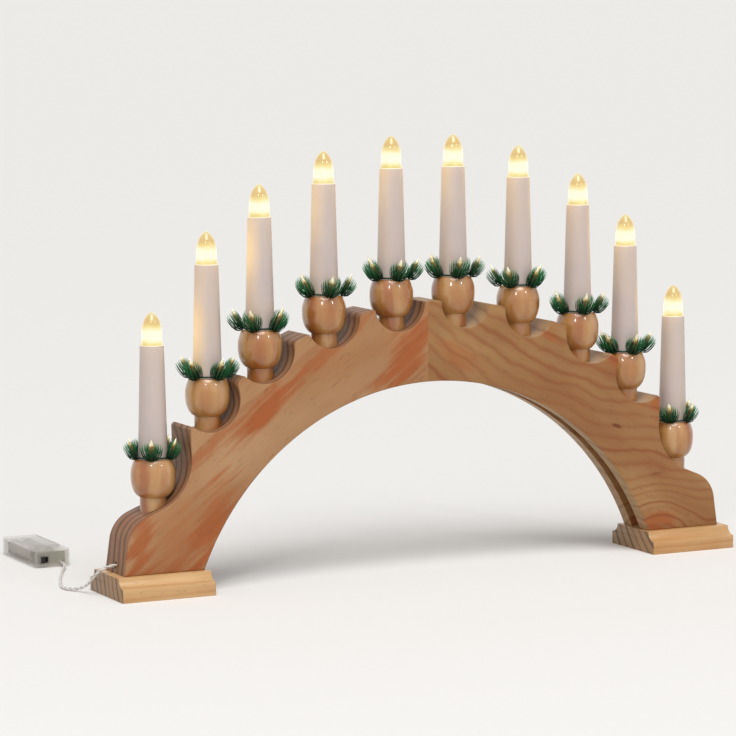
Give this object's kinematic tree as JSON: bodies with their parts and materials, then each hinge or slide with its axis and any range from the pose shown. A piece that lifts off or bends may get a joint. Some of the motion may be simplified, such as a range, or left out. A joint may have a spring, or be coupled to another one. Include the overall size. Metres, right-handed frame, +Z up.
{
  "type": "candle arch",
  "caption": "Scalloped pine arch on moulded feet with turned holders, tapered electric candles in loose needle rings, and a battery box with a slide switch on a short lead.",
  "frame": {"origin": "on the floor, midway between the feet and midway through the thickness of the arch", "axes": "+X along the arch to the right seen from the front, +Y through its thickness to the back, +Z up"},
  "size_m": [0.5282, 0.2321, 0.3245],
  "materials": {
    "board_pine": "satin varnish",
    "foot_pine": "satin varnish",
    "turned_pine": "gloss varnish",
    "dowel_wood": "bare",
    "screw_steel": "plated",
    "sleeve_white": "satin",
    "bulb_warm": "frosted, lit",
    "needle_green": "matte",
    "led_lens": "clear",
    "wire_cover": "satin",
    "case_clear": "frosted clear",
    "switch_black": "matte",
    "switch_steel": "tinned",
    "board_green": "satin",
    "cell_wrap": "plain wrap",
    "contact_nickel": "nickel plated"
  },
  "bodies": {
    "arch": {"aaa_cells": "cell_wrap", "arch_left_board": "board_pine", "arch_right_board": "board_pine", "battery_case": "case_clear", "battery_lead": "wire_cover", "board_dowels": "dowel_wood", "bulb_01": "bulb_warm", "bulb_02": "bulb_warm", "bulb_03": "bulb_warm", "bulb_04": "bulb_warm", "bulb_05": "bulb_warm", "bulb_06": "bulb_warm", "bulb_07": "bulb_warm", "bulb_08": "bulb_warm", "bulb_09": "bulb_warm", "bulb_10": "bulb_warm", "candle_01": "sleeve_white", "candle_02": "sleeve_white", "candle_03": "sleeve_white", "candle_04": "sleeve_white", "candle_05": "sleeve_white", "candle_06": "sleeve_white", "candle_07": "sleeve_white", "candle_08": "sleeve_white", "candle_09": "sleeve_white", "candle_10": "sleeve_white", "foot_screws": "screw_steel", "front_contacts": "contact_nickel", "holder_01": "turned_pine", "holder_02": "turned_pine", "holder_03": "turned_pine", "holder_04": "turned_pine", "holder_05": "turned_pine", "holder_06": "turned_pine", "holder_07": "turned_pine", "holder_08": "turned_pine", "holder_09": "turned_pine", "holder_10": "turned_pine", "leds": "led_lens", "left_foot": "foot_pine", "rear_contact": "contact_nickel", "right_foot": "foot_pine", "switch_board": "board_green", "switch_body": "switch_steel", "wire_loom": "wire_cover"},
    "ring_01": {"candle_ring_01": "needle_green"},
    "ring_02": {"candle_ring_02": "needle_green"},
    "ring_03": {"candle_ring_03": "needle_green"},
    "ring_04": {"candle_ring_04": "needle_green"},
    "ring_05": {"candle_ring_05": "needle_green"},
    "ring_06": {"candle_ring_06": "needle_green"},
    "ring_07": {"candle_ring_07": "needle_green"},
    "ring_08": {"candle_ring_08": "needle_green"},
    "ring_09": {"candle_ring_09": "needle_green"},
    "ring_10": {"candle_ring_10": "needle_green"},
    "lid": {"battery_lid": "case_clear"},
    "switch": {"switch_slider": "switch_black"}
  },
  "joints": [
    {"name": "ring_01_turn", "type": "hinge", "parent": "arch", "child": "ring_01", "pos_m": [-0.218, 0, 0.0977], "axis": [0, 0, 1], "continuous": true},
    {"name": "ring_02_turn", "type": "hinge", "parent": "arch", "child": "ring_02", "pos_m": [-0.1748, 0, 0.1539], "axis": [0, 0, 1], "continuous": true},
    {"name": "ring_03_turn", "type": "hinge", "parent": "arch", "child": "ring_03", "pos_m": [-0.1328, 0, 0.1866], "axis": [0, 0, 1], "continuous": true},
    {"name": "ring_04_turn", "type": "hinge", "parent": "arch", "child": "ring_04", "pos_m": [-0.0811, 0, 0.2091], "axis": [0, 0, 1], "continuous": true},
    {"name": "ring_05_turn", "type": "hinge", "parent": "arch", "child": "ring_05", "pos_m": [-0.0258, 0, 0.2188], "axis": [0, 0, 1], "continuous": true},
    {"name": "ring_06_turn", "type": "hinge", "parent": "arch", "child": "ring_06", "pos_m": [0.0258, 0, 0.2188], "axis": [0, 0, 1], "continuous": true},
    {"name": "ring_07_turn", "type": "hinge", "parent": "arch", "child": "ring_07", "pos_m": [0.0811, 0, 0.2091], "axis": [0, 0, 1], "continuous": true},
    {"name": "ring_08_turn", "type": "hinge", "parent": "arch", "child": "ring_08", "pos_m": [0.1328, 0, 0.1866], "axis": [0, 0, 1], "continuous": true},
    {"name": "ring_09_turn", "type": "hinge", "parent": "arch", "child": "ring_09", "pos_m": [0.1748, 0, 0.1539], "axis": [0, 0, 1], "continuous": true},
    {"name": "ring_10_turn", "type": "hinge", "parent": "arch", "child": "ring_10", "pos_m": [0.218, 0, 0.0977], "axis": [0, 0, 1], "continuous": true},
    {"name": "lid_slide", "type": "slide", "parent": "arch", "child": "lid", "axis": [0, 1, 0], "range_m": [0, 0.05]},
    {"name": "switch_slide", "type": "slide", "parent": "arch", "child": "switch", "axis": [1, 0, 0], "range_m": [0, 0.0028]}
  ]
}
